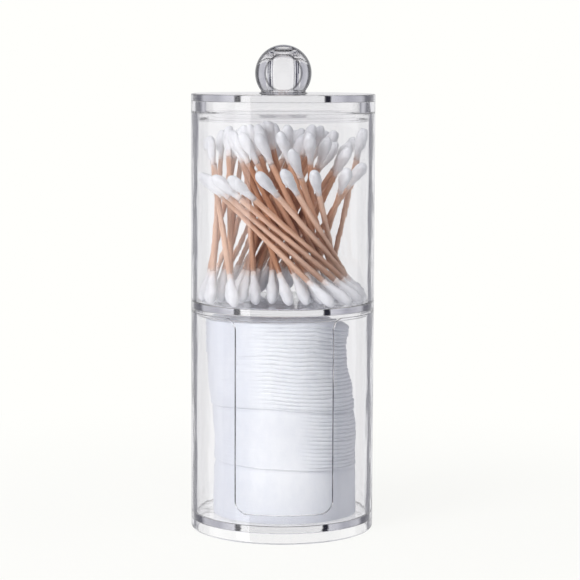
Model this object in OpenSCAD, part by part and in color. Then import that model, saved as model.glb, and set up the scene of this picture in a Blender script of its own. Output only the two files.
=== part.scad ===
// Two-tier round holder of clear plastic for cotton swabs and cotton pads.
// The pads stand in the lower cup and come out through its front slot. The upper cup holds the
// swabs and nests on the lower one, and a lid plugs into the upper cup. A hollow ball knob is stuck
// on a peg in the middle of the lid.
// The origin is at the bottom centre, +Z is up and the slot faces -Y. All sizes are in mm.

/* [Cotton pads] */
// Diameter of one round pad
pad_d = 57; // [50:0.5:62]
// Thickness of one pad in the stack
pad_t = 1.55; // [1.2:0.05:2]
// Number of pads in the stack
pad_count = 50; // [30:1:50]
// Sideways shift of the stack's foot, to the right
foot_shift = 1.2; // [0:0.1:1.5]
// Sideways shift of the stack's top, to the left
top_shift = 2.1; // [0:0.1:2.4]
// Largest unevenness of one pad's place in the stack
pad_stray = 0.35; // [0:0.05:0.5]

/* [Cotton swabs] */
// Whole length of one swab
swab_l = 75; // [70:0.5:80]
// Diameter of the wooden stick
stick_d = 2.2; // [1.8:0.1:2.6]
// Largest diameter of a cotton head
head_d = 4.9; // [4.2:0.1:5.6]
// Length of a cotton head
head_l = 13.5; // [11:0.5:16]
// Thickness of the cotton where a head ends on the stick
head_lip = 0.2; // [0.1:0.05:0.4]
// Distance that a stick ends short of the head's tip
stick_end = 2.5; // [1.5:0.1:4]
// Play between a stick and the cotton wound on it
stick_play = 0.03; // [0.01:0.01:0.1]
// Room that is left between neighbouring swabs
swab_gap = 0.25; // [0.15:0.05:0.5]
// Lean of the swabs that stand against the wall
side_lean = 28; // [20:1:35]
// Lean of the band of swabs that lies across the front
front_lean = 49; // [40:1:52]
// Part of the swabs on the right that lean as far as the band
right_mix = 0.4; // [0:0.05:0.9]
// Part of the swabs on the left that lean as far as the band
left_mix = 0.15; // [0:0.05:0.9]
// Number that picks one heap out of many like it
heap_pick = 3; // [1:1:9]

/* [Cups] */
// Thickness of the walls of both cups
wall_t = 2.2; // [1.6:0.1:3]
// Thickness of the floors of both cups
floor_t = 2.4; // [1.8:0.1:3.5]
// Radius of the fillet between wall and floor inside both cups
inner_fillet_r = 0.8; // [0.4:0.1:1.5]
// Room between the pads and the wall
pad_side_room = 5.3; // [4.5:0.1:8]
// Room over the stack of pads
pad_top_room = 1.1; // [0.6:0.1:6]
// Height of the skirt that the lower cup stands on
foot_h = 4.2; // [2.5:0.1:8]
// Radius of the round at the lower cup's bottom edge
foot_edge_r = 1.2; // [0.5:0.1:1.4]
// Room that the upper cup and lid have over the length of a swab
swab_top_room = 3.6; // [3:0.1:12]
// Depth that the upper cup's ring reaches into the lower cup
nest_depth = 1.4; // [1:0.1:4]
// Thickness of the upper cup's nesting ring
nest_t = 2; // [1.4:0.1:3]
// Height of the upper cup's floor over the joint of the cups
nest_rise = 1.1; // [0.6:0.1:3]
// Radial play of the nesting ring in the lower cup
nest_play = 0.3; // [0.2:0.05:0.5]

/* [Front slot] */
// Width of the slot
slot_w = 37; // [28:0.5:44]
// Height of the slot's bottom edge over the lower cup's floor
slot_sill = 4.6; // [3:0.1:12]
// Radius of the slot's bottom corners
slot_corner_r = 4.5; // [2:0.1:8]
// Radius of the rounds that lead from the slot into the rim
slot_flare_r = 4.5; // [2:0.1:6]

/* [Lid] */
// Thickness of the lid's plate
lid_t = 2.8; // [2:0.1:4]
// Height of the lid's rim under the plate
lid_rim_h = 4.4; // [3:0.1:8]
// Depth that the lid's ring reaches into the upper cup
plug_depth = 3.4; // [2:0.1:6]
// Thickness of the lid's ring
plug_t = 3.3; // [2:0.1:5]
// Radial play of the lid's ring in the upper cup
plug_play = 0.3; // [0.2:0.05:0.5]
// Radius of the round at the lid's top edge
lid_edge_r = 0.5; // [0.3:0.1:1]

/* [Knob] */
// Diameter of the ball
knob_d = 22.1; // [18:0.1:28]
// Height of the ball over the lid's plate
knob_h = 18.95; // [15:0.05:20]
// Radius of the hollow that leads from the ball to its foot
knob_fillet_r = 0.8; // [0.5:0.1:1.5]
// Height of the edge of the ball's foot
knob_lip = 0.3; // [0.2:0.1:1]
// Diameter of the blind bore in the ball
knob_bore_d = 9; // [5:0.1:12]
// Thickness of the ball over the bore
knob_roof = 3.9; // [3:0.1:8]
// Radius of the round at the bore's blind end
knob_bore_r = 1; // [0.5:0.1:2]
// Height of the peg on the lid's plate that holds the ball
knob_peg_h = 2.7; // [1.5:0.1:5]
// Radial play of the peg in the ball's bore
knob_peg_play = 0.05; // [0.02:0.01:0.2]

/* [Hidden] */
pad_names = [for (i = [1:pad_count]) str("cotton_pad_", i)];
layer_names = ["outer", "middle", "inner"];

$fn = 96;
// Overshoot of the cuts past the faces that they open
cut = 1;

inner_r = pad_d / 2 + pad_side_room;
cup_r = inner_r + wall_t;

lower_floor = foot_h + floor_t;
pads_top = lower_floor + pad_count * pad_t;
joint_z = pads_top + pad_top_room + nest_depth;
upper_floor = joint_z + nest_rise + floor_t;
plate_z = upper_floor + swab_l + swab_top_room;
rim_z = plate_z - lid_rim_h;
lid_top = plate_z + lid_t;

nest_r = inner_r - nest_play;
plug_r = inner_r - plug_play;

knob_r = knob_d / 2;
knob_z = lid_top + knob_h - knob_r;
knob_neck_z = lid_top + knob_lip + knob_fillet_r;
knob_neck_r = sqrt(pow(knob_r, 2) - pow(knob_z - knob_neck_z, 2));
knob_bore_top = lid_top + knob_h - knob_roof;

stick_r = stick_d / 2;
head_r = head_d / 2;
// Distance between the middles of the round tips of a swab's two heads
swab_span = swab_l - 2 * head_r;
// Farthest that the middle of a head can be from the cup's axis
heap_r = inner_r - swab_gap - head_r;
// Room that leaning heads and leaning sticks take over the room that upright ones need
head_spare = 0.45;
stick_spare = 0.1;
// Distance between the rings that the heads stand in
ring_step = head_d + swab_gap + head_spare;
// Distance between two rings of sticks where they pass the middle of the heap
waist_step = stick_d + swab_gap + stick_spare;
// Least distance at which a swab passes the cup's axis
least_waist = 2;
// Farthest that a head strays outwards from its ring
ring_stray = 0.2;
ring_count = floor(heap_r / ring_step);
// Rings of each layer's own node, from the first to the last
layer_rings = [[0, 0], [1, 1], [2, ring_count]];
// Direction of the band's middle, a little to the left of the front
band_angle = -100;
// Angle that the band holds to each side, and the angle over which it fades out
band_half = 35;
band_fade = 45;
// Difference between the largest and the smallest lean on a ring, as a part of side_lean
lean_spread = 0.5;
// Least part of the way to the band's lean that a swab mixed in among the steep ones goes
mix_least = 0.6;
// Angle round a ring from a place that isn't free to the next try
try_step = 3;
// Distance round a ring from a place that is taken to the next try, as a part of a head's width
kept_step = 0.7;
// Steps of the seed from ring to ring and from try to try
ring_seed = 57.3;
try_seed = 1.37;
// Part of the stack of pads that stands straight, from its foot up
straight_part = 0.35;

// Number from 0 to 1 that looks random and is the same each time
function chance(a, b) = let (v = sin(a * 727.3 + b * 4482.9) * 43758.5) v - floor(v);
function limit(x) = max(0, min(1, x));
function smooth(x) = let (t = limit(x)) t * t * (3 - 2 * t);

// Shortest distance between the stretches a-b and c-d
function stretch_gap(a, b, c, d) =
    let (
        u = b - a, v = d - c, w = a - c,
        uu = u * u, vv = v * v, uv = u * v, uw = u * w, vw = v * w,
        spread = uu * vv - uv * uv,
        s0 = spread > 0.001 ? limit((uv * vw - vv * uw) / spread) : 0,
        t0 = (uv * s0 + vw) / vv,
        t = limit(t0),
        s = t == t0 ? s0 : limit((uv * t - uw) / uu)
    )
    norm(w + s * u - t * v);

// A swab is kept as its two tips, the bottom one first, and the number of its ring
function swab_way(swab) = (swab[1] - swab[0]) / swab_l;
function head_stretch(tip, way) = [tip + way * head_r, tip + way * (head_l - head_r)];
function swab_heads(swab) =
    let (way = swab_way(swab)) [head_stretch(swab[0], way), head_stretch(swab[1], -way)];
function heads_clear(a, b) =
    min([for (p = swab_heads(a), q = swab_heads(b)) stretch_gap(p[0], p[1], q[0], q[1])])
        > head_d + swab_gap;
function head_clear_of_stick(a, b) =
    min([for (p = swab_heads(a)) stretch_gap(p[0], p[1], b[0], b[1])]) > head_r + stick_r + swab_gap;
function swabs_clear(a, b) =
    let (gap = stretch_gap(a[0], a[1], b[0], b[1]))
    gap > head_d + swab_gap ? true
        : gap < stick_d + swab_gap ? false
        : heads_clear(a, b) && head_clear_of_stick(a, b) && head_clear_of_stick(b, a);
function stands_clear(swab, kept, i = 0) =
    i == len(kept) ? true
        : !swabs_clear(swab, kept[i]) ? false
        : stands_clear(swab, kept, i + 1);

// Swab that passes the cup's axis at the distance waist, in the direction angle, with the middle
// of both heads at the distance r from the axis, and its bottom head on the floor
function swab_at(r, waist, angle, ring) =
    let (
        turn = acos(waist / r),
        low = r * [cos(angle + turn), sin(angle + turn), 0],
        high = r * [cos(angle - turn), sin(angle - turn), 0],
        flat = (high - low) / swab_span,
        rise = sqrt(1 - flat * flat),
        way = flat + [0, 0, rise],
        tip = low + [0, 0, upper_floor + swab_gap + head_r] - way * head_r
    )
    [tip, tip + way * swab_l, ring];

// Distance from the axis at which a swab with this lean passes, with its heads at the distance r
function waist_of(r, lean) =
    sqrt(max(pow(least_waist, 2), pow(r, 2) - pow(swab_span * sin(lean) / 2, 2)));

// Least lean at which a swab with its heads at the distance r fits under the lid and its ring
function least_lean(r) =
    let (top = r + head_r + swab_gap > plug_r - plug_t ? rim_z - plug_depth : plate_z)
    acos(limit((top - upper_floor - 2 * swab_gap - head_d) / swab_span));

// Candidate number try of a ring: deep swabs lean as the band does, the others stand steeper
function candidate(ring, sweep, try) =
    let (
        seed = heap_pick + ring * ring_seed + try * try_seed,
        r = min(heap_r, heap_r - ring * ring_step + ring_stray * chance(seed, 1)),
        angle = band_angle + 180 + sweep,
        side = sweep - 180,
        band = 1 - smooth((abs(side) - band_half) / band_fade),
        mixed = chance(seed, 4) < (side > 0 ? right_mix : left_mix),
        deep = mixed ? mix_least + (1 - mix_least) * chance(seed, 0) : 0,
        lean = side_lean * (1 + lean_spread * (0.5 - chance(seed, 0))),
        steep = waist_of(r, max(lean, least_lean(r))),
        flat = min(steep, max(least_waist, waist_of(heap_r, front_lean) - ring * waist_step))
    )
    swab_at(r, steep + (flat - steep) * max(band, deep), angle, ring);

// Goes round a ring and keeps each candidate that is clear of all the swabs kept before it
function kept_angle(ring) = kept_step * head_d / (heap_r - ring * ring_step) * 180 / PI;
function sweep_ring(ring, kept, sweep = 0, try = 0) =
    sweep > 360 - try_step ? kept
        : let (swab = candidate(ring, sweep, try), free = stands_clear(swab, kept))
          sweep_ring(
              ring,
              free ? concat(kept, [swab]) : kept,
              sweep + (free ? kept_angle(ring) : try_step),
              try + 1
          );
function heap(ring = 0, kept = []) =
    ring == ring_count ? kept : heap(ring + 1, sweep_ring(ring, kept));
function layer_swabs(layer) =
    [for (s = heap()) if (s[2] >= layer_rings[layer][0] && s[2] <= layer_rings[layer][1]) s];

// Outline of a round space of this radius and height with a fillet round its floor
module pocket_outline(r, h, fillet) {
    square([r - fillet, h]);
    translate([0, fillet]) square([r, h - fillet]);
    translate([r - fillet, fillet]) circle(fillet);
}

// Piece to cut from an outline's outer corner at the origin to round it; it reaches left and up
module corner_cut(r) {
    difference() {
        translate([-r, -cut]) square([r + cut, r + cut]);
        translate([-r, r]) circle(r);
    }
}

module slot_outline() {
    sill = lower_floor + slot_sill;
    half = slot_w / 2;
    translate([-half, sill + slot_corner_r]) square([slot_w, joint_z + cut - sill - slot_corner_r]);
    translate([-half + slot_corner_r, sill]) square([slot_w - 2 * slot_corner_r, slot_corner_r + cut]);
    for (side = [-1, 1]) {
        translate([side * (half - slot_corner_r), sill + slot_corner_r]) circle(slot_corner_r);
        difference() {
            translate([side > 0 ? 0 : -half - slot_flare_r, joint_z - slot_flare_r])
                square([half + slot_flare_r, slot_flare_r + cut]);
            translate([side * (half + slot_flare_r), joint_z - slot_flare_r]) circle(slot_flare_r);
            translate([side * (half + slot_flare_r) - (side > 0 ? 0 : cut), joint_z - slot_flare_r])
                square([cut, slot_flare_r + 2 * cut]);
        }
    }
}

module lower_cup() {
    color([0.90, 0.91, 0.95, 0.35])
    difference() {
        rotate_extrude() difference() {
            square([cup_r, joint_z]);
            translate([0, -cut]) square([inner_r, foot_h + cut]);
            translate([0, lower_floor]) pocket_outline(inner_r, joint_z, inner_fillet_r);
            translate([cup_r, 0]) corner_cut(foot_edge_r);
        }
        translate([0, cut, 0]) rotate([90, 0, 0])
            linear_extrude(height = cup_r + 2 * cut) slot_outline();
    }
}

module upper_cup() {
    color([0.90, 0.91, 0.95, 0.35])
    rotate_extrude() difference() {
        union() {
            translate([0, joint_z]) square([cup_r, rim_z - joint_z]);
            translate([nest_r - nest_t, joint_z - nest_depth]) square([nest_t, nest_depth + nest_rise]);
        }
        translate([0, joint_z - cut]) square([nest_r - nest_t, nest_rise + cut]);
        translate([0, upper_floor]) pocket_outline(inner_r, rim_z, inner_fillet_r);
    }
}

module lid_outline() {
    difference() {
        union() {
            translate([0, plate_z - lid_rim_h - plug_depth]) square([plug_r, lid_rim_h + plug_depth]);
            translate([0, rim_z]) square([cup_r, lid_top - rim_z]);
        }
        translate([0, rim_z - plug_depth - cut]) square([plug_r - plug_t, lid_rim_h + plug_depth + cut]);
        translate([cup_r, lid_top]) mirror([0, 1]) corner_cut(lid_edge_r);
    }
}

module knob_outline() {
    intersection() {
        translate([0, knob_z]) circle(knob_r);
        translate([0, lid_top]) square([knob_r + cut, knob_h + cut]);
    }
    difference() {
        translate([0, lid_top]) square([knob_neck_r + knob_fillet_r, knob_neck_z - lid_top]);
        translate([knob_neck_r + knob_fillet_r, knob_neck_z]) circle(knob_fillet_r);
    }
}

module knob_bore_outline() {
    translate([0, knob_bore_top]) mirror([0, 1])
        pocket_outline(knob_bore_d / 2, knob_bore_top - lid_top + cut, knob_bore_r);
}

module lid() {
    color([0.90, 0.91, 0.95, 0.35])
    rotate_extrude() {
        lid_outline();
        translate([0, plate_z]) square([knob_bore_d / 2 - knob_peg_play, lid_t + knob_peg_h]);
    }
}

module knob() {
    color([0.90, 0.91, 0.95, 0.35])
    rotate_extrude() difference() {
        knob_outline();
        knob_bore_outline();
    }
}

// Share of the way from the stack's foot to its top that a pad has gone sideways
function pad_lean(i) = smooth((i / pad_count - straight_part) / (1 - straight_part));
function pad_place(i) = [
    foot_shift - (foot_shift + top_shift) * pad_lean(i) + pad_stray * (2 * chance(i, 2) - 1),
    pad_stray * (2 * chance(i, 3) - 1),
    lower_floor + i * pad_t
];

// One pad with a round edge
module cotton_pad(i) {
    edge_r = pad_t / 2;
    color([0.97, 0.97, 0.98])
    translate(pad_place(i)) rotate_extrude() {
        square([pad_d / 2 - edge_r, pad_t]);
        intersection() {
            translate([pad_d / 2 - edge_r, edge_r]) circle(edge_r);
            translate([edge_r, 0]) square([pad_d / 2, pad_t]);
        }
    }
}

// Turns the +Z axis at the origin onto a swab's line, with the origin at its tip
module along(tip, way) {
    translate(tip) rotate([0, acos(way[2]), atan2(way[1], way[0])]) children();
}

module swab_stick(swab) {
    way = swab_way(swab);
    along(swab[0] + way * stick_end, way) cylinder(h = swab_l - 2 * stick_end, r = stick_r, $fn = 24);
}

// Radius of the head's tapered tail, where part goes from 0 at the widest place to 1 at its end
function tail_radius(part) = stick_r + head_lip + (head_r - stick_r - head_lip) * cos(90 * part);

// Cotton head with its tip at the origin: a ball, a tapered tail and a blind hole for the stick
module swab_head() {
    tail_steps = 4;
    tail = [for (i = [0:tail_steps])
        [tail_radius(i / tail_steps), head_r + (head_l - head_r) * i / tail_steps]];
    rotate_extrude($fn = 24) difference() {
        union() {
            intersection() {
                translate([0, head_r]) circle(head_r);
                square([head_r, 2 * head_r]);
            }
            polygon(concat([[0, head_r]], tail, [[0, head_l]]));
        }
        translate([0, stick_end - stick_play]) square([stick_r + stick_play, head_l]);
    }
}

module swab_sticks(layer) {
    color([0.84, 0.64, 0.49])
    for (swab = layer_swabs(layer)) swab_stick(swab);
}

module swab_heads_of(layer) {
    color([0.97, 0.97, 0.98])
    for (swab = layer_swabs(layer)) {
        way = swab_way(swab);
        along(swab[0], way) swab_head();
        along(swab[1], -way) swab_head();
    }
}

lower_cup();
upper_cup();
lid();
knob();
for (layer = [0:len(layer_names) - 1]) {
    swab_sticks(layer);
    swab_heads_of(layer);
}
for (i = [0:pad_count - 1])
    cotton_pad(i);
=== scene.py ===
"""Looks of a clear two-tier holder with cotton swabs over cotton pads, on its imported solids.

Lengths in the named values are millimetres in the frame of the solids: the origin is at the
bottom centre, +Z is up and the slot of the lower cup faces -Y.
"""
import math
import bmesh
import bpy
from mathutils import Matrix, Vector, noise


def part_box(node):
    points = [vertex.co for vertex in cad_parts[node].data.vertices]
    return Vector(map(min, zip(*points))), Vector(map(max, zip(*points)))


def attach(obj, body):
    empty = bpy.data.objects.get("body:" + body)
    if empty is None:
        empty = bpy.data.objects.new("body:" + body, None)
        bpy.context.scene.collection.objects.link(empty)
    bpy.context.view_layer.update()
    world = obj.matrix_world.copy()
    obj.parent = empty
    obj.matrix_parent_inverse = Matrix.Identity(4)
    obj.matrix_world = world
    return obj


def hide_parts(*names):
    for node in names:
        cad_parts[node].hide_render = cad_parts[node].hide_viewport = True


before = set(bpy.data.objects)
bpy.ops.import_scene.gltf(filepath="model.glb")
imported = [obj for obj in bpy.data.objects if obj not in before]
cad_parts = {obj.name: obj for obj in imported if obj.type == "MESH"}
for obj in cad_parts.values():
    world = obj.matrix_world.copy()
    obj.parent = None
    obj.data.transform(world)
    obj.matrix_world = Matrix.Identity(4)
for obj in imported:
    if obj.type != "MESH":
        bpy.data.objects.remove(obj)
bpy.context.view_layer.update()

MM = 0.001
SPIN_STEPS = 192
ROUND_STEPS = 5
# Angle in degrees from which an edge is sharp
SHARP_ANGLE = 50

# Cups
CUP_R = 36.0
INNER_R = 33.8
FOOT_H = 4.2
FOOT_EDGE_R = 1.2
LOWER_FLOOR = 6.6
JOINT_Z = 86.6
UPPER_UNDERSIDE = 87.7
UPPER_FLOOR = 90.1
RIM_Z = 164.3
FILLET_R = 0.8
MOULDED_EDGE = 0.3
JOINT_EDGE = 0.12
# Air between mouldings that touch, so that light meets two faces there
SEAM_AIR = 0.03
NEST_R = 33.5
NEST_BORE_R = 31.5
NEST_FOOT = 85.2

# Slot
SLOT_HALF = 18.5
SLOT_SILL = 11.2
SLOT_CORNER_R = 4.5
SLOT_EDGE = 1.0
# The slot's cutter reaches over the rim and flares there, so that the slot's top corners round
# outwards
CUTTER_OVER = 4
CUTTER_FLARE = 9
CUTTER_AHEAD = 3

# Lid
PLUG_R = 33.5
PLUG_BORE_R = 30.2
PLUG_FOOT = 160.9
PLATE_Z = 168.7
LID_TOP = 171.5
LID_EDGE_R = 0.5
PEG_R = 4.45
PEG_TOP = 174.2

# Knob
KNOB_R = 11.05
KNOB_Z = 179.4
KNOB_FOOT_R = 9.51
KNOB_LIP = 0.3
KNOB_NECK_Z = 172.6
KNOB_BORE_R = 4.5
KNOB_BORE_TOP = 186.55
KNOB_BORE_ROUND = 1.0

# Pads
PAD_COUNT = 50
PAD_STEPS = 120
# Heights over the floor of the seams between the three bundles of pads
LOW_SEAM = 20.7
HIGH_SEAM = 44.4
# How many pads under and over a pad it is pressed in line with, from the lowest bundle up
PRESSED_WITH = (5, 3, 1)
# Air under the lowest pad, because dry cotton only touches the floor here and there
PAD_AIR = 0.06
PAD_R = 28.5
STACK_TOP = 77
# Section of a pad: radii of its faces' rings, and shares of its thickness up its rim
FACE_RADII = (9, 18, 23, 26, 27.6)
RIM_SHARES = (0, 0.1, 0.25, 0.5, 0.75, 0.9, 1)
RIM_FROM = 19
# How the stack settles: waves of its layers, its slant to the right, its crown, its slump at
# the upper seam, the droop of its top right and the sway of its sides
WAVE = 0.5
SLANT = 1.6
CROWN = 1.8
SLUMP = 1.2
DROOP = 3.6
SWAY = 0.25
# How far the rims draw in: everywhere, unevenly, under a seam (and how far down that reaches)
# and at the waist
DRAWN_IN = 0.3
UNEVEN = 0.25
SEAM_RECESS = 0.95
SEAM_REACH = 1.5
WAIST = 1.2
# Grooves between pads: on the pressed and on the open side over the lowest bundle, and what all
# pads have
GROOVE_PRESSED = 0.01
GROOVE_OPEN = 0.45
GROOVE_ALL = 0.008

# Swabs
SWAB_L = 75.0
STICK_R = 1.1
STICK_END = 2.5
STICK_SIDES = 18
HEAD_R = 2.45
HEAD_L = 13.5
HEAD_LIP = 0.06
HEAD_WIDEST_AT = 4.4
TAIL_POWER = 1.15
TAIL_STEPS = 10
HEAD_STEPS = 20
# How far the lip of a head turns in at the stick, across and along it
LIP_IN = 0.25
LIP_BACK = 0.1
# Shares by which a head is lumpy and slimmer than its solid, and how far it leans, in millimetres
HEAD_LUMP = 0.16
HEAD_SLIM = 0.07
HEAD_LEAN = 0.1
# How far apart the swabs lie in their own coordinates, in metres, so that no two have one grain
SWAB_APART = 0.05
HEADS_ASIDE = 0.03


# Sections

def draw_line(bm, start, *corners):
    """Draws a section on from a vertex through corners (r, z) and gives their vertices."""
    drawn = []
    for r, z in corners:
        corner = bm.verts.new((r * MM, 0, z * MM))
        bm.edges.new((start, corner))
        start = corner
        drawn.append(corner)
    return drawn


def draw_arc(bm, start, centre, angle, steps):
    """Draws a section on from a vertex by turning it about a centre (r, z)."""
    middle = (centre[0] * MM, 0, centre[1] * MM)
    turn = bmesh.ops.spin(bm, geom=[start], cent=middle, axis=(0, 1, 0), angle=math.radians(angle),
                          steps=steps)
    return turn["geom_last"][0]


def round_corners(bm, corners, radius, steps):
    """Rounds right-angled corners of a section or an outline."""
    bmesh.ops.bevel(bm, geom=corners, affect="VERTICES", offset=radius * MM, segments=steps,
                    profile=0.5, material=-1)


def spin_section(bm, steps):
    """Spins a section about the holder's axis and closes it there."""
    bmesh.ops.delete(bm, geom=bm.faces[:], context="FACES_ONLY")
    axis_edges = [edge for edge in bm.edges if all(abs(end.co.x) < 1e-7 for end in edge.verts)]
    bmesh.ops.delete(bm, geom=axis_edges, context="EDGES")
    bmesh.ops.spin(bm, geom=bm.verts[:] + bm.edges[:], axis=(0, 0, 1), angle=math.tau,
                   steps=steps, use_merge=True)
    bmesh.ops.remove_doubles(bm, verts=bm.verts, dist=1e-6)
    bmesh.ops.recalc_face_normals(bm, faces=bm.faces)


def piece_of(name, bm):
    """Makes a smooth object of a finished bmesh."""
    mesh = bpy.data.meshes.new(name)
    bm.to_mesh(mesh)
    bm.free()
    for face in mesh.polygons:
        face.use_smooth = True
    piece = bpy.data.objects.new(name, mesh)
    bpy.context.scene.collection.objects.link(piece)
    return piece


def apply_modifiers(piece):
    """Fixes the piece's modifiers in its mesh."""
    graph = bpy.context.evaluated_depsgraph_get()
    finished = bpy.data.meshes.new_from_object(piece.evaluated_get(graph))
    piece.modifiers.clear()
    piece.data = finished


def even_shading(piece):
    """Lets large faces set the shading, so that flat faces shade flat between round edges."""
    shading = piece.modifiers.new("flat faces", "WEIGHTED_NORMAL")
    shading.keep_sharp = True


# Clear mouldings

def moulding_section(corners, rounds):
    """Draws a closed section and rounds its corners: rounds gives (corner number, radius)."""
    bm = bmesh.new()
    first = bm.verts.new((corners[0][0] * MM, 0, corners[0][1] * MM))
    drawn = [first] + draw_line(bm, first, *corners[1:])
    bm.edges.new((drawn[-1], first))
    bmesh.ops.contextual_create(bm, geom=bm.edges[:])
    for number, radius in rounds:
        round_corners(bm, [drawn[number]], radius, ROUND_STEPS)
    return bm


def cut_slot(cup):
    """Cuts the slot with its round corners through the front of the cup's wall."""
    bm = bmesh.new()
    flare = SLOT_HALF + CUTTER_FLARE
    top = JOINT_Z + CUTTER_OVER
    outline = [(-flare, top), (-flare, JOINT_Z), (-SLOT_HALF, JOINT_Z), (-SLOT_HALF, SLOT_SILL),
               (SLOT_HALF, SLOT_SILL), (SLOT_HALF, JOINT_Z), (flare, JOINT_Z), (flare, top)]
    first = bm.verts.new((outline[0][0] * MM, 0, outline[0][1] * MM))
    drawn = [first] + draw_line(bm, first, *outline[1:])
    bm.edges.new((drawn[-1], first))
    bmesh.ops.contextual_create(bm, geom=bm.edges[:])
    round_corners(bm, drawn[2:6], SLOT_CORNER_R, steps=12)
    bmesh.ops.translate(bm, verts=bm.verts, vec=(0, -(CUP_R + CUTTER_AHEAD) * MM, 0))
    deep = bmesh.ops.extrude_face_region(bm, geom=bm.faces[:])
    moved = [part for part in deep["geom"] if isinstance(part, bmesh.types.BMVert)]
    bmesh.ops.translate(bm, verts=moved, vec=(0, CUP_R * MM, 0))
    bmesh.ops.recalc_face_normals(bm, faces=bm.faces)
    cutter = piece_of("slot_cutter", bm)
    cut = cup.modifiers.new("slot", "BOOLEAN")
    cut.operation = "DIFFERENCE"
    cut.solver = "EXACT"
    cut.object = cutter
    edge = cup.modifiers.new("slot edge", "BEVEL")
    edge.width = SLOT_EDGE * MM
    edge.segments = 4
    edge.limit_method = "ANGLE"
    edge.angle_limit = math.radians(SHARP_ANGLE)
    apply_modifiers(cup)
    bpy.data.objects.remove(cutter)


def make_lower_cup():
    """The lower cup: wall, floor, foot skirt and front slot."""
    bm = moulding_section(
        [(CUP_R, 0), (CUP_R, JOINT_Z - SEAM_AIR), (INNER_R, JOINT_Z - SEAM_AIR),
         (INNER_R, LOWER_FLOOR), (0, LOWER_FLOOR), (0, FOOT_H), (INNER_R, FOOT_H), (INNER_R, 0)],
        [(0, FOOT_EDGE_R), (1, JOINT_EDGE), (2, MOULDED_EDGE), (3, FILLET_R), (6, MOULDED_EDGE),
         (7, MOULDED_EDGE)])
    spin_section(bm, SPIN_STEPS)
    cup = piece_of("clear_lower_cup", bm)
    cut_slot(cup)
    return cup


def make_upper_cup():
    """The upper cup: wall, floor and the nesting ring under the floor."""
    bm = moulding_section(
        [(CUP_R, JOINT_Z + SEAM_AIR), (CUP_R, RIM_Z - SEAM_AIR), (INNER_R, RIM_Z - SEAM_AIR),
         (INNER_R, UPPER_FLOOR), (0, UPPER_FLOOR), (0, UPPER_UNDERSIDE),
         (NEST_BORE_R, UPPER_UNDERSIDE), (NEST_BORE_R, NEST_FOOT), (NEST_R, NEST_FOOT),
         (NEST_R, JOINT_Z + SEAM_AIR)],
        [(0, JOINT_EDGE), (1, JOINT_EDGE), (2, MOULDED_EDGE), (3, FILLET_R), (6, MOULDED_EDGE),
         (7, MOULDED_EDGE), (8, MOULDED_EDGE), (9, JOINT_EDGE)])
    spin_section(bm, SPIN_STEPS)
    return piece_of("clear_upper_cup", bm)


def make_lid():
    """The lid: plate, rim, plug ring and the peg that holds the knob."""
    bm = moulding_section(
        [(PLUG_R, PLUG_FOOT), (PLUG_R, RIM_Z + SEAM_AIR), (CUP_R, RIM_Z + SEAM_AIR),
         (CUP_R, LID_TOP), (PEG_R, LID_TOP), (PEG_R, PEG_TOP), (0, PEG_TOP), (0, PLATE_Z),
         (PLUG_BORE_R, PLATE_Z), (PLUG_BORE_R, PLUG_FOOT)],
        [(0, JOINT_EDGE), (2, JOINT_EDGE), (3, LID_EDGE_R), (5, JOINT_EDGE), (8, MOULDED_EDGE),
         (9, JOINT_EDGE)])
    spin_section(bm, SPIN_STEPS)
    return piece_of("clear_lid", bm)


def make_knob():
    """The ball knob: foot, hollow neck, ball and the blind bore that sits on the lid's peg."""
    bm = bmesh.new()
    first = bm.verts.new((KNOB_BORE_R * MM, 0, (LID_TOP + SEAM_AIR) * MM))
    foot = draw_line(bm, first, (KNOB_FOOT_R, LID_TOP + SEAM_AIR),
                     (KNOB_FOOT_R, LID_TOP + KNOB_LIP))
    neck = draw_arc(bm, foot[-1], (KNOB_FOOT_R, KNOB_NECK_Z), angle=90, steps=8)
    ball_turn = -math.degrees(math.acos((KNOB_NECK_Z - KNOB_Z) / KNOB_R))
    top = draw_arc(bm, neck, (0, KNOB_Z), ball_turn, steps=40)
    bore = draw_line(bm, top, (0, KNOB_BORE_TOP), (KNOB_BORE_R, KNOB_BORE_TOP))
    bm.edges.new((bore[-1], first))
    bmesh.ops.contextual_create(bm, geom=bm.edges[:])
    round_corners(bm, [bore[-1]], KNOB_BORE_ROUND, steps=6)
    round_corners(bm, [first, foot[0]], JOINT_EDGE, steps=3)
    spin_section(bm, SPIN_STEPS)
    return piece_of("clear_knob", bm)


# Cotton pads

def smooth_step(low, high, value):
    """Goes smoothly from 0 at low to 1 at high."""
    part = max(0.0, min(1.0, (value - low) / (high - low)))
    return part * part * (3 - 2 * part)


def settle(place):
    """Moves a point of the stack, in millimetres over the floor, as the soft bundles settle."""
    x, y, z = place
    held = smooth_step(0, 8, z)
    wave = noise.noise(Vector((x / 17, y / 17, z / 15 + 3.7)))
    lift = WAVE * wave * held * (1 - 0.5 * smooth_step(70, STACK_TOP, z))
    slant = smooth_step(6, 28, z) * (1 - smooth_step(28, 54, z))
    lift -= SLANT * slant * x / PAD_R
    crown = smooth_step(12, 50, z) * (1 - 0.7 * smooth_step(50, STACK_TOP, z))
    lift -= CROWN * crown * (x / PAD_R) ** 2
    slump = smooth_step(30, 52, z) * (1 - smooth_step(56, 76, z)) * smooth_step(-6, 7, x)
    lift -= SLUMP * slump
    lift -= DROOP * smooth_step(50, STACK_TOP, z) * smooth_step(9, 29, x)
    side = SWAY * noise.noise(Vector((z / 9, 2.2, 8.1))) * held
    return Vector((x + side, y, z + lift + PAD_AIR))


def recess(from_floor):
    """How far the top of a bundle draws back under the bundle above it."""
    under = 0.0
    for seam in (LOW_SEAM, HIGH_SEAM):
        if from_floor < seam:
            under += SEAM_RECESS * math.exp((from_floor - seam) / SEAM_REACH)
    return under


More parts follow.
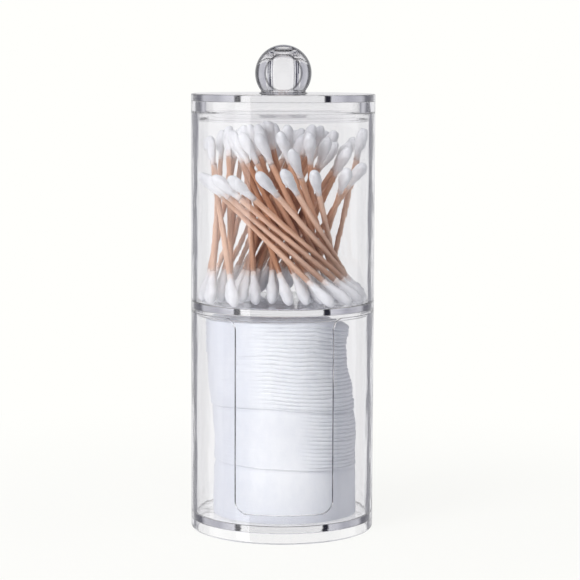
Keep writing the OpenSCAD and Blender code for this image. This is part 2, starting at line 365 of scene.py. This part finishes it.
def pad_box(number):
    """The lowest and highest corners of a packed pad, in millimetres."""
    return [Vector(corner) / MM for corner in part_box("cotton_pad_%d" % number)]


def pad_outline(number, beside):
    """The mean centre and radius of a pad and of the pads up to so many places beside it."""
    lowest = max(1, number - beside)
    highest = min(PAD_COUNT, number + beside)
    group = [pad_box(other) for other in range(lowest, highest + 1)]
    centre = sum(((low + high) / 2 for low, high in group), Vector()) / len(group)
    radius = sum((high.x - low.x) / 2 for low, high in group) / len(group)
    return centre, radius


def make_pad(number):
    """One round pad of the stack, with a soft rim that the pads beside it press nearly flush."""
    low, high = pad_box(number)
    thick = high.z - low.z
    from_floor = low.z - LOWER_FLOOR
    bundle = sum(from_floor > seam for seam in (LOW_SEAM, HIGH_SEAM))
    centre, radius = pad_outline(number, PRESSED_WITH[bundle])
    free = smooth_step(LOW_SEAM - 1, LOW_SEAM + 1, from_floor)
    loose = smooth_step(HIGH_SEAM - 1, HIGH_SEAM + 1, from_floor)
    bm = bmesh.new()
    start = bm.verts.new((0, 0, 0))
    under = [(r, 0) for r in FACE_RADII]
    side = [(radius, thick * part) for part in RIM_SHARES]
    over = [(r, thick) for r in reversed(FACE_RADII)]
    draw_line(bm, start, *under, *side, *over, (0, thick))
    spin_section(bm, PAD_STEPS)
    for vert in bm.verts:
        x, y, z = vert.co / MM
        reach = math.hypot(x, y)
        rim = smooth_step(RIM_FROM, radius, reach)
        way = Vector((x, y, 0)).normalized() if reach > 0.01 else Vector((0, 0, 0))
        own = noise.noise(way * 2.1 + Vector((0, 0, number * 5.31)))
        shared = noise.noise(way * 1.6 + Vector((0, 0, (from_floor + z) / 11)))
        crimp = noise.noise(way * 11 + Vector((0, 0, number * 1.7)))
        open_side = smooth_step(-14 * loose, 12 - 10 * loose, x - 4 * (1 - loose))
        shrink = DRAWN_IN + UNEVEN * shared
        shrink += free * (0.008 + 0.142 * open_side) * (own + 0.5 * crimp)
        edge = abs(2 * z / thick - 1) ** 3
        groove = free * (GROOVE_PRESSED + GROOVE_OPEN * open_side) * (1 + 0.8 * own)
        groove += GROOVE_ALL * (1 + crimp)
        waist = smooth_step(52, 62, from_floor) * (1 - smooth_step(68, 75, from_floor))
        shrink += groove * edge + recess(from_floor + z) + WAIST * waist * smooth_step(4, 24, x)
        flat = Vector((x, y, 0)) - way * rim * max(0.0, shrink)
        place = Vector((centre.x + flat.x, centre.y + flat.y, from_floor + z))
        vert.co = (settle(place) + Vector((0, 0, LOWER_FLOOR))) * MM
    pad = piece_of("soft_pad_%02d" % number, bm)
    pad.data.set_sharp_from_angle(angle=math.radians(SHARP_ANGLE))
    return pad


# Cotton swabs

def stick_axes(node):
    """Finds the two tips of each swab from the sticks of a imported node."""
    bm = bmesh.new()
    bm.from_mesh(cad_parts[node].data)
    bmesh.ops.remove_doubles(bm, verts=bm.verts, dist=1e-6)
    unseen = set(bm.verts)
    tips = []
    while unseen:
        reached = [unseen.pop()]
        stick = list(reached)
        while reached:
            for edge in reached.pop().link_edges:
                for end in edge.verts:
                    if end in unseen:
                        unseen.discard(end)
                        reached.append(end)
                        stick.append(end)
        places = [vert.co.copy() for vert in stick]
        middle = sum(places, Vector()) / len(places)
        far = max(places, key=lambda place: (place - middle).length)
        way = (far - middle).normalized()
        ends = [[place for place in places if (place - middle).dot(way) * side > 0]
                for side in (1, -1)]
        top, bottom = (sum(end, Vector()) / len(end) / MM for end in ends)
        if top.z < bottom.z:
            top, bottom = bottom, top
        spare = (top - bottom).normalized() * STICK_END
        tips.append((top + spare, bottom - spare))
    bm.free()
    return sorted(tips, key=lambda pair: tuple(pair[0]))


def place_on_line(tip, way):
    """The turn and shift that bring +Z at the origin onto a swab's line."""
    return Matrix.Translation(tip * MM) @ way.to_track_quat("Z", "Y").to_matrix().to_4x4()


def note_own_place(bm, own, verts, shift):
    """Keeps where each vertex lies on its own swab, in metres, before it is placed."""
    for vert in verts:
        vert[own] = vert.co + Vector(shift)


def add_stick(bm, own, tips, number):
    """One straight birch stick."""
    top, bottom = tips
    way = (bottom - top).normalized()
    length = SWAB_L - 2 * STICK_END
    made = bmesh.ops.create_cone(bm, cap_ends=True, segments=STICK_SIDES, radius1=STICK_R * MM,
                                 radius2=STICK_R * MM, depth=length * MM)
    bmesh.ops.translate(bm, verts=made["verts"], vec=(0, 0, SWAB_L / 2 * MM))
    note_own_place(bm, own, made["verts"], (SWAB_APART * number, 0, 0))
    bmesh.ops.transform(bm, matrix=place_on_line(top, way), verts=made["verts"])


def head_section(bm):
    """The section of a cotton head from its tip at the origin to its lip on the stick."""
    tip = bm.verts.new((0, 0, 0))
    widest = draw_arc(bm, tip, (0, HEAD_R), angle=-90, steps=8)
    bmesh.ops.scale(bm, verts=bm.verts, vec=(1, 1, HEAD_WIDEST_AT / HEAD_R))
    tail = []
    for step in range(1, TAIL_STEPS + 1):
        part = step / TAIL_STEPS
        swell = ((1 + math.cos(math.pi * part)) / 2) ** TAIL_POWER
        slim = STICK_R + HEAD_LIP + (HEAD_R - STICK_R - HEAD_LIP) * swell
        tail.append((slim, HEAD_WIDEST_AT + (HEAD_L - HEAD_WIDEST_AT) * part))
    lip = draw_line(bm, widest, *tail)[-1]
    draw_line(bm, lip, (STICK_R - LIP_IN, HEAD_L - LIP_BACK))


def add_head(bm, own, tip, way, number):
    """One wound cotton head, each with a lumpy outline of its own."""
    shape = bmesh.new()
    head_section(shape)
    bmesh.ops.spin(shape, geom=shape.verts[:] + shape.edges[:], axis=(0, 0, 1), angle=math.tau,
                   steps=HEAD_STEPS, use_merge=True)
    bmesh.ops.remove_doubles(shape, verts=shape.verts, dist=1e-6)
    bmesh.ops.recalc_face_normals(shape, faces=shape.faces)
    mesh = bpy.data.meshes.new("head")
    shape.to_mesh(mesh)
    shape.free()
    before = set(bm.verts)
    bm.from_mesh(mesh)
    bpy.data.meshes.remove(mesh)
    made = [vert for vert in bm.verts if vert not in before]
    note_own_place(bm, own, made, (SWAB_APART * number, HEADS_ASIDE, 0))
    for vert in made:
        z = vert.co.z / MM
        body = smooth_step(0.2, 2.0, z) * (1 - smooth_step(10.5, 13.2, z))
        lump = noise.noise(vert.co / MM * 0.45 + Vector((number * 3.7, 0, 0)))
        lean = noise.noise(Vector((number * 1.9, z * 0.16, 4.0)))
        out = Vector((vert.co.x, vert.co.y, 0))
        vert.co += out * (body * (HEAD_LUMP * lump - HEAD_SLIM))
        vert.co += Vector((lean, -lean, 0)) * HEAD_LEAN * body * MM
    bmesh.ops.transform(bm, matrix=place_on_line(tip, way), verts=made)


def make_swabs(layer, first_number):
    """The sticks and the heads of one layer of the heap."""
    tips = stick_axes("swab_sticks_" + layer)
    sticks = bmesh.new()
    heads = bmesh.new()
    stick_own = sticks.verts.layers.float_vector.new("own_place")
    head_own = heads.verts.layers.float_vector.new("own_place")
    for number, (top, bottom) in enumerate(tips, first_number):
        way = (bottom - top).normalized()
        add_stick(sticks, stick_own, (top, bottom), number)
        add_head(heads, head_own, top, way, 2 * number)
        add_head(heads, head_own, bottom, -way, 2 * number + 1)
    birch_sticks = piece_of("birch_sticks_" + layer, sticks)
    cotton_heads = piece_of("cotton_heads_" + layer, heads)
    return birch_sticks, cotton_heads, len(tips)


# Shader sums

class Sum:
    """A number that varies over a surface: each sum on it adds a Math node."""

    def __init__(self, nodes, socket):
        self.nodes = nodes
        self.socket = socket

    def math(self, operation, first, second):
        node = self.nodes.add("ShaderNodeMath", {"operation": operation}, {0: first, 1: second})
        return Sum(self.nodes, node.outputs[0])

    def __add__(self, other):
        return self.math("ADD", self, other)

    def __radd__(self, other):
        return self.math("ADD", other, self)

    def __sub__(self, other):
        return self.math("SUBTRACT", self, other)

    def __rsub__(self, other):
        return self.math("SUBTRACT", other, self)

    def __mul__(self, other):
        return self.math("MULTIPLY", self, other)

    def __rmul__(self, other):
        return self.math("MULTIPLY", other, self)

    def __truediv__(self, other):
        return self.math("DIVIDE", self, other)

    def over(self, edge):
        """1 where the number is over the edge, 0 elsewhere."""
        return self.math("GREATER_THAN", self, edge)

    def ramp(self, low, high, at_low=0.0, at_high=1.0):
        """Goes smoothly from one value at low to another at high."""
        node = self.nodes.add("ShaderNodeMapRange", {"interpolation_type": "SMOOTHSTEP"},
                              {"Value": self, "From Min": low, "From Max": high,
                               "To Min": at_low, "To Max": at_high})
        return Sum(self.nodes, node.outputs[0])


class Nodes:
    """The nodes of a material or of the world."""

    def __init__(self, tree):
        self.tree = tree
        tree.nodes.clear()

    def add(self, kind, settings=None, sockets=None):
        """Adds a node of a type, makes its settings, then fills its sockets."""
        node = self.tree.nodes.new(kind)
        for name, value in (settings or {}).items():
            if name == "stops":
                self.set_stops(node, value)
            else:
                setattr(node, name, value)
        for name, value in (sockets or {}).items():
            self.fill(node.inputs[name], value)
        return node

    def set_stops(self, node, stops):
        """Gives a ramp its stops of (place, colour)."""
        ramp = node.color_ramp
        while len(ramp.elements) < len(stops):
            ramp.elements.new(1.0)
        for element, (place, colour) in zip(ramp.elements, stops):
            element.position = place
            element.color = (*colour, 1)

    def fill(self, socket, value):
        """Links a socket to another, or sets its value."""
        if isinstance(value, Sum):
            value = value.socket
        if isinstance(value, bpy.types.NodeSocket):
            self.tree.links.new(value, socket)
        elif isinstance(value, (tuple, list)) and len(value) == 3 and socket.type == "RGBA":
            socket.default_value = (*value, 1)
        else:
            socket.default_value = value

    def number(self, node, output=0):
        """The output of a node as a number for sums."""
        return Sum(self, node.outputs[output])

    def mix_colours(self, factor, first, second):
        """Mixes two colours."""
        node = self.add("ShaderNodeMix", {"data_type": "RGBA"}, {0: factor, 6: first, 7: second})
        return node.outputs[2]

    def mix_shaders(self, factor, first, second):
        """Mixes two shaders."""
        return self.add("ShaderNodeMixShader", None, {0: factor, 1: first, 2: second}).outputs[0]

    def stretched(self, vector, scale):
        """Multiplies coordinates by a scale along each axis."""
        node = self.add("ShaderNodeVectorMath", {"operation": "MULTIPLY"}, {0: vector, 1: scale})
        return node.outputs[0]

    def noise(self, vector, scale, detail=3.0, roughness=0.5, distortion=0.0):
        """Noise around 0.5 at a scale."""
        node = self.add("ShaderNodeTexNoise", None,
                        {"Vector": vector, "Scale": scale, "Detail": detail,
                         "Roughness": roughness, "Distortion": distortion})
        return self.number(node)

    def bump(self, height, strength, distance, normal=None):
        """A bump in metres from a height."""
        sockets = {"Height": height, "Strength": strength, "Distance": distance}
        if normal:
            sockets["Normal"] = normal
        return self.add("ShaderNodeBump", None, sockets).outputs[0]


def new_material(name):
    """A new material and its nodes."""
    material = bpy.data.materials.new(name)
    material.use_nodes = True
    return material, Nodes(material.node_tree)


# Finishes

POLYSTYRENE_IOR = 1.49
CLEAR_TINTS = ((0.94, 0.94, 0.955), (0.96, 0.955, 0.965))
LIT_THROUGH = (0.93, 0.935, 0.95)
DEPTH_TINT = (0.5, 0.5, 0.56)
DEPTH_DENSITY = 5.0
# Where the ball's drawn band starts and ends, from 0 for faces seen head on to 1 for edge on
BAND_START = (0.19, 0.215)
BAND_END = (0.25, 0.275)
BAND_TINT = (0.01, 0.01, 0.015)
PRESSED_TINTS = ((0.81, 0.825, 0.87), (0.87, 0.88, 0.91))
WOUND_TINTS = ((0.9, 0.895, 0.89), (0.96, 0.955, 0.95))
WOOD_UNDER_COTTON = (0.86, 0.68, 0.58)
PORE_TINT = (0.45, 0.2, 0.1)
WISP_TINT = (0.92, 0.84, 0.79)
# Painted shade on the sticks where others stand close, and how close that is in metres
PAINTED_SHADE_TINT = (0.3, 0.09, 0.03)
PAINTED_SHADE_REACH = 0.008
# Distances from the middle of a swab, in metres: where the cotton thins out over the stick,
# where its last wisps end, and how unevenly both do
COTTON_FULL = 0.0275
COTTON_GONE = 0.024
WISPS_GONE = 0.022
WISPS_FULL = 0.025
FRAY = 0.006


def clear_plastic(name, painted_rim_low, painted_rim_high, rim, ring=None):
    """Clear moulded polystyrene: glossy, with faint waves, and with a dark rim painted where seen
    edge on.

    A ring gives the centre and radius of a ball. On the skin outside it a dark band is drawn, which
    stands for the dark surroundings that the real ball bends into view.
    """
    material, nodes = new_material(name)
    place = nodes.add("ShaderNodeTexCoord").outputs["Object"]
    waves = nodes.noise(nodes.stretched(place, (1, 1, 0.35)), 90, 2)
    flow = nodes.noise(nodes.stretched(place, (1, 1, 0.12)), 420, 3)
    handled = nodes.noise(place, 160, 4, 0.6)
    relief = nodes.bump(waves + flow * 0.1, 0.25, 0.0006)
    facing = nodes.add("ShaderNodeLayerWeight", None, {"Blend": 0.5, "Normal": relief})
    edge = nodes.number(facing, "Facing")
    tint = nodes.mix_colours(flow.ramp(0.3, 0.7), *CLEAR_TINTS)
    # Painted dark rim where a face is seen edge on: it stands for the dark surroundings that the
    # real edges bend into view
    tint = nodes.mix_colours(edge.ramp(painted_rim_low, painted_rim_high), tint, rim)
    if ring:
        centre, radius = ring
        from_centre = nodes.add("ShaderNodeVectorMath", {"operation": "DISTANCE"},
                                {0: place, 1: centre})
        skin = nodes.number(from_centre, "Value").over(radius)
        band = edge.ramp(*BAND_START) * (1 - edge.ramp(*BAND_END)) * skin
        tint = nodes.mix_colours(band * waves.ramp(0.35, 0.6, 0.35, 0.85), tint, BAND_TINT)
    body = nodes.add("ShaderNodeBsdfPrincipled", None, {
        "Base Color": tint,
        "Roughness": handled.ramp(0.45, 0.75, 0.0, 0.04),
        "IOR": POLYSTYRENE_IOR,
        "Transmission Weight": 1.0,
        "Normal": relief,
    })
    lit_through = nodes.add("ShaderNodeBsdfTransparent", None, {"Color": LIT_THROUGH})
    path = nodes.add("ShaderNodeLightPath")
    inside = nodes.mix_shaders(path.outputs["Is Diffuse Ray"], body.outputs[0],
                               lit_through.outputs[0])
    through = nodes.mix_shaders(path.outputs["Is Shadow Ray"], inside, lit_through.outputs[0])
    depth = nodes.add("ShaderNodeVolumeAbsorption", None,
                      {"Color": DEPTH_TINT, "Density": DEPTH_DENSITY})
    nodes.add("ShaderNodeOutputMaterial", None, {"Surface": through, "Volume": depth.outputs[0]})
    return material


def pad_cotton():
    """Pressed cotton of the pads: matt, faintly blue, with short fibres in all directions."""
    material, nodes = new_material("pressed cotton")
    place = nodes.add("ShaderNodeTexCoord").outputs["Object"]
    fibres = nodes.noise(place, 2600, 5, 0.62, 0.6)
    felt = nodes.noise(nodes.stretched(place, (1, 1, 0.45)), 420, 4, 0.55)
    cloud = nodes.noise(place, 60, 2)
    shade = cloud * 0.45 + felt * 0.35 + fibres * 0.2
    surface = nodes.add("ShaderNodeBsdfPrincipled", None, {
        "Base Color": nodes.mix_colours(shade.ramp(0.35, 0.65), *PRESSED_TINTS),
        "Roughness": fibres.ramp(0.3, 0.7, 0.85, 1.0),
        "Specular IOR Level": 0.15,
        "Sheen Weight": 0.25,
        "Sheen Roughness": 0.6,
        "Normal": nodes.bump(fibres * 0.4 + felt, 0.35, 0.0004),
    })
    nodes.add("ShaderNodeOutputMaterial", None, {"Surface": surface.outputs[0]})
    return material


def wound_cotton():
    """Fluffy cotton wound on the swab sticks, with fibres that run slantwise round the head."""
    material, nodes = new_material("wound cotton")
    own = nodes.add("ShaderNodeAttribute", {"attribute_name": "own_place"}).outputs["Vector"]
    wound = nodes.noise(nodes.stretched(own, (1, 1, 0.3)), 1500, 5, 0.6, 0.8)
    tufts = nodes.noise(own, 420, 3, 0.5)
    colour = nodes.mix_colours((wound * 0.5 + tufts * 0.5).ramp(0.35, 0.65), *WOUND_TINTS)
    along = nodes.number(nodes.add("ShaderNodeSeparateXYZ", None, {0: own}), 2)
    from_middle = along.math("ABSOLUTE", along - SWAB_L / 2 * MM, 0.0)
    thin = (from_middle + (wound - 0.5) * FRAY).ramp(COTTON_FULL, COTTON_GONE, 0.0, 0.75)
    colour = nodes.mix_colours(thin, colour, WOOD_UNDER_COTTON)
    surface = nodes.add("ShaderNodeBsdfPrincipled", None, {
        "Base Color": colour,
        "Roughness": wound.ramp(0.3, 0.7, 0.85, 1.0),
        "Specular IOR Level": 0.15,
        "Sheen Weight": 0.3,
        "Sheen Roughness": 0.5,
        "Normal": nodes.bump(wound * 0.6 + tufts, 0.4, 0.0005),
    })
    nodes.add("ShaderNodeOutputMaterial", None, {"Surface": surface.outputs[0]})
    return material


def birch(name, dark, light, pale):
    """Birch of the sticks: grain along each, a tone of its own, and painted warm shade deep in the
    heap.
    """
    material, nodes = new_material(name)
    own = nodes.add("ShaderNodeAttribute", {"attribute_name": "own_place"}).outputs["Vector"]
    grain = nodes.noise(nodes.stretched(own, (1, 1, 0.035)), 2400, 4, 0.6, 0.3)
    pores = nodes.noise(nodes.stretched(own, (1, 1, 0.012)), 6000, 2, 0.5)
    tone = nodes.noise(nodes.stretched(own, (1, 0.2, 0.1)), 21, 1)
    colour = nodes.mix_colours(grain.ramp(0.3, 0.7), dark, light)
    colour = nodes.mix_colours(tone.ramp(0.3, 0.7, 0.0, 0.6), colour, pale)
    colour = nodes.mix_colours(pores.ramp(0.55, 0.75, 0.0, 0.45), colour, PORE_TINT)
    along = nodes.number(nodes.add("ShaderNodeSeparateXYZ", None, {0: own}), 2)
    from_middle = along.math("ABSOLUTE", along - SWAB_L / 2 * MM, 0.0)
    wisp = (from_middle + (grain - 0.5) * FRAY).ramp(WISPS_GONE, WISPS_FULL, 0.0, 0.6)
    colour = nodes.mix_colours(wisp, colour, WISP_TINT)
    # Painted shade: the sticks turn dark and red where other sticks of their layer stand close
    shade = nodes.add("ShaderNodeAmbientOcclusion", {"samples": 4, "only_local": True},
                      {"Distance": PAINTED_SHADE_REACH})
    open_air = nodes.number(shade, "AO")
    colour = nodes.mix_colours(open_air.ramp(1.0, 0.4, 0.0, 0.9), colour, PAINTED_SHADE_TINT)
    surface = nodes.add("ShaderNodeBsdfPrincipled", None, {
        "Base Color": colour,
        "Roughness": grain.ramp(0.3, 0.7, 0.5, 0.68),
        "Specular IOR Level": 0.35,
        "Normal": nodes.bump(grain + pores * 0.4, 0.3, 0.0002),
    })
    nodes.add("ShaderNodeOutputMaterial", None, {"Surface": surface.outputs[0]})
    return material


def dress(piece, material, body, slot, *nodes):
    """Gives a piece its material, hangs it under its body's empty and hides the imported solids it
    stands in for.
    """
    piece.data.materials.clear()
    piece.data.materials.append(material)
    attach(piece, body)
    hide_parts(*nodes)


# Pieces

ball_ring = ((0, 0, KNOB_Z * MM), (KNOB_R - 0.5) * MM)
# The rim colours are painted dark rims: grey on the cups and lid, near black on the ball
plastic = clear_plastic("clear moulded plastic", painted_rim_low=0.8, painted_rim_high=0.98, rim=(0.33, 0.33, 0.38))
ball_plastic = clear_plastic("clear moulded ball", painted_rim_low=0.52, painted_rim_high=0.66,
                             rim=(0.04, 0.04, 0.06), ring=ball_ring)
for make, material, body, node in (
        (make_lower_cup, plastic, "lower_cup", "lower_cup"),
        (make_upper_cup, plastic, "upper_cup", "upper_cup"),
        (make_lid, plastic, "lid", "lid"),
        (make_knob, ball_plastic, "lid", "knob")):
    moulding = make()
    even_shading(moulding)
    dress(moulding, material, body, "clear_plastic", node)

pressed = pad_cotton()
for number in range(1, PAD_COUNT + 1):
    pad = make_pad(number)
    dress(pad, pressed, "lower_cup", "cotton", "cotton_pad_%d" % number)

wound = wound_cotton()
swabs_made = 0
# The middle and inner layers get darker, redder copies of one birch: painted shade for the sticks
# deeper in the heap
for layer, dark, light, pale in (
        ("outer", (0.75, 0.42, 0.26), (0.93, 0.61, 0.44), (0.96, 0.71, 0.56)),
        ("middle", (0.62, 0.31, 0.17), (0.8, 0.47, 0.31), (0.88, 0.58, 0.42)),
        ("inner", (0.5, 0.22, 0.11), (0.7, 0.37, 0.22), (0.82, 0.5, 0.34))):
    sticks, heads, count = make_swabs(layer, swabs_made)
    swabs_made += count
    wood = birch("birch " + layer, dark, light, pale)
    dress(sticks, wood, "upper_cup", "birch", "swab_sticks_" + layer)
    dress(heads, wound, "upper_cup", "cotton", "swab_heads_" + layer)


# Studio

# Camera fitted to the outlines in the photo: angles in degrees, place and lens in millimetres
CAMERA_TURN = -1.7
CAMERA_PLACE = (2.924, -844.445, 187.399)
CAMERA_DIP = 6.291
CAMERA_ROLL = 0.226
CAMERA_LENS = 133.72

eye = bpy.data.cameras.new("camera")
eye.lens = CAMERA_LENS
eye.sensor_width = 36
eye.clip_start = 0.01
camera = bpy.data.objects.new("camera", eye)
bpy.context.scene.collection.objects.link(camera)
turn = Matrix.Rotation(math.radians(CAMERA_TURN), 4, "Z")
dip = Matrix.Rotation(math.radians(90 - CAMERA_DIP), 4, "X")
roll = Matrix.Rotation(math.radians(CAMERA_ROLL), 4, "Z")
camera.matrix_world = turn @ Matrix.Translation(Vector(CAMERA_PLACE) * MM) @ dip @ roll
bpy.context.scene.camera = camera


def add_softbox(name, azimuth, distance, middle, size, power):
    """A softbox that faces the holder from an azimuth, in degrees to the right of the camera."""
    light = bpy.data.lights.new(name, "AREA")
    light.shape = "RECTANGLE"
    light.size, light.size_y = size
    light.energy = power
    box = bpy.data.objects.new(name, light)
    bpy.context.scene.collection.objects.link(box)
    angle = math.radians(azimuth + CAMERA_TURN)
    place = Vector((math.sin(angle) * distance, -math.cos(angle) * distance, middle))
    box.location = place
    aim = Vector((0, 0, 0.1)) - place
    box.rotation_euler = aim.to_track_quat("-Z", "Y").to_euler()
    box.visible_camera = False
    box.visible_transmission = False
    box.visible_glossy = False
    return box


add_softbox("left softbox", azimuth=-42, distance=0.95, middle=0.45, size=(0.33, 0.9), power=5.9)
add_softbox("right fill", azimuth=78, distance=1.1, middle=0.3, size=(0.5, 0.9), power=1.8)
add_softbox("overhead", azimuth=-20, distance=0.5, middle=1.1, size=(0.7, 0.7), power=4.0)
add_softbox("back fill", azimuth=176, distance=1.2, middle=0.35, size=(0.6, 0.9), power=2.8)

FLOOR_R = 3.0
FLOOR_DROP = 0.0001
WHITE = (1.0, 1.0, 0.985)
PAPER = (1.0, 1.0, 0.975)
FLAG = (0.02, 0.02, 0.03)
SIDE_FLAG = (0.06, 0.06, 0.09)
EDGE_FLAG = (0.05, 0.05, 0.08)
PALE_GREY = (0.78, 0.78, 0.82)
MID_GREY = (0.6, 0.6, 0.64)
DIM = (0.1, 0.1, 0.12)
BRIGHT_SIDE = (0.85, 0.85, 0.86)
WINDOW_LIGHT = (3.4, 3.4, 3.4)
CEILING = (0.5, 0.5, 0.53)
BACK_GREY = (0.22, 0.22, 0.24)
# What lights the cotton and the sticks from all round
ROOM_LIGHT = (0.26, 0.26, 0.28)
# Degrees over which the window's left edge, its bright pane and its paler rest end
WINDOW_EDGE = (-139.5, -138.5)
PANE_EDGE = (-119.5, -118)
WINDOW_END = (-100, -60)
# Degrees from straight ahead past which a ray goes back towards the camera's side
BEHIND = 97.0
# Surfaces crossed after which a ray sees plain white: two walls have four
PLAIN_AFTER = 3.5


def floor_material():
    """A pale floor that stays white in the picture and keeps the holder's shadow."""
    material, nodes = new_material("floor")
    place = nodes.add("ShaderNodeTexCoord").outputs["Object"]
    from_middle = nodes.add("ShaderNodeVectorMath", {"operation": "LENGTH"}, {0: place})
    far = nodes.number(from_middle, "Value")
    path = nodes.add("ShaderNodeLightPath")
    lit = nodes.add("ShaderNodeBsdfDiffuse", None, {"Color": (0.9, 0.9, 0.89)})
    glow = nodes.add("ShaderNodeEmission", None, {"Color": PAPER, "Strength": 1.0})
    open_air = nodes.add("ShaderNodeBsdfTransparent")
    ground = nodes.mix_shaders(far.ramp(0.06, 0.3, 0.88, 1.0), lit.outputs[0], glow.outputs[0])
    seen = nodes.mix_shaders(path.outputs["Is Camera Ray"], lit.outputs[0], ground)
    past = nodes.mix_shaders(path.outputs["Is Glossy Ray"], seen, open_air.outputs[0])
    past = nodes.mix_shaders(path.outputs["Is Transmission Ray"], past, open_air.outputs[0])
    nodes.add("ShaderNodeOutputMaterial", None, {"Surface": past})
    return material


bm = bmesh.new()
bmesh.ops.create_circle(bm, cap_ends=True, segments=96, radius=FLOOR_R)
bmesh.ops.translate(bm, verts=bm.verts, vec=(0, 0, -FLOOR_DROP))
floor = piece_of("floor", bm)
floor.data.materials.append(floor_material())


def light_room():
    """A white room with flags in each quarter turn and one window, which the clear edges show.

    What a ray sees depends on how it came: mirrored by the plastic, through it, or by one inner
    reflection through an edge. Rays that crossed two walls or more see plain white.
    """
    world = bpy.data.worlds.new("studio")
    world.use_nodes = True
    bpy.context.scene.world = world
    nodes = Nodes(world.node_tree)
    path = nodes.add("ShaderNodeLightPath")
    toward = nodes.add("ShaderNodeTexCoord").outputs["Generated"]
    split = nodes.add("ShaderNodeSeparateXYZ", None, {0: toward})
    across, along, up = (nodes.number(split, axis) for axis in range(3))
    azimuth = across.math("ARCTAN2", across, along) * math.degrees(1) + CAMERA_TURN
    fold = azimuth.math("PINGPONG", azimuth, 45.0)
    quarter = azimuth.math("PINGPONG", azimuth, 90.0)
    walls = nodes.add("ShaderNodeValToRGB", {"stops": [
        (0.192, WHITE), (0.201, FLAG), (0.228, FLAG), (0.238, PALE_GREY),
        (0.3, (0.66, 0.66, 0.71)), (0.35, (0.46, 0.46, 0.51)), (0.51, MID_GREY),
        (0.57, SIDE_FLAG), (0.76, SIDE_FLAG), (0.82, (0.95, 0.95, 0.95))]},
        {0: quarter / 90.0}).outputs[0]
    turned = azimuth.math("ABSOLUTE", azimuth, 0.0)
    sides = turned.ramp(125, 70, 0.0, 1.0)
    window = azimuth.ramp(*WINDOW_EDGE) * (1 - azimuth.ramp(*PANE_EDGE, 0.0, 0.5))
    window = window * (1 - azimuth.ramp(*WINDOW_END))
    bright_sides = sides.math("MAXIMUM", sides, up.ramp(-0.02, 0.06))
    mirrored = nodes.mix_colours(bright_sides, DIM, BRIGHT_SIDE)
    mirrored = nodes.mix_colours(window, mirrored, WINDOW_LIGHT)
    mirrored = nodes.mix_colours(up.ramp(0.4, 0.7), mirrored, DIM)
    deep = nodes.number(path, "Transmission Depth").over(PLAIN_AFTER)
    bounced = nodes.number(path, "Glossy Depth")
    downward = 1 - up.over(0.0)
    edges = nodes.add("ShaderNodeValToRGB", {"stops": [
        (0.0, (0.9, 0.9, 0.9)), (0.44, PALE_GREY), (0.48, EDGE_FLAG), (0.74, EDGE_FLAG),
        (1.0, MID_GREY)]}, {0: fold / 45.0}).outputs[0]
    once = bounced.over(0.5) * (1 - bounced.over(1.5)) * downward
    through = nodes.mix_colours(once, walls, edges)
    through = nodes.mix_colours(up.ramp(0.28, 0.5), through, CEILING)
    through = nodes.mix_colours(up.ramp(-0.7, -0.6), DIM, through)
    through = nodes.mix_colours(deep, through, WHITE)
    behind = bounced.over(0.5) * downward * turned.over(BEHIND)
    through = nodes.mix_colours(behind, through, BACK_GREY)
    seen = nodes.mix_colours(path.outputs["Is Transmission Ray"], mirrored, through)
    seen = nodes.mix_colours(path.outputs["Is Diffuse Ray"], seen, ROOM_LIGHT)
    seen = nodes.mix_colours(path.outputs["Is Camera Ray"], seen, PAPER)
    background = nodes.add("ShaderNodeBackground", None, {"Color": seen, "Strength": 1.0})
    nodes.add("ShaderNodeOutputWorld", None, {"Surface": background.outputs[0]})


light_room()

scene = bpy.context.scene
scene.view_settings.view_transform = "Standard"
scene.cycles.max_bounces = 24
scene.cycles.transmission_bounces = 24
scene.cycles.transparent_max_bounces = 24
scene.cycles.glossy_bounces = 8
scene.cycles.diffuse_bounces = 3
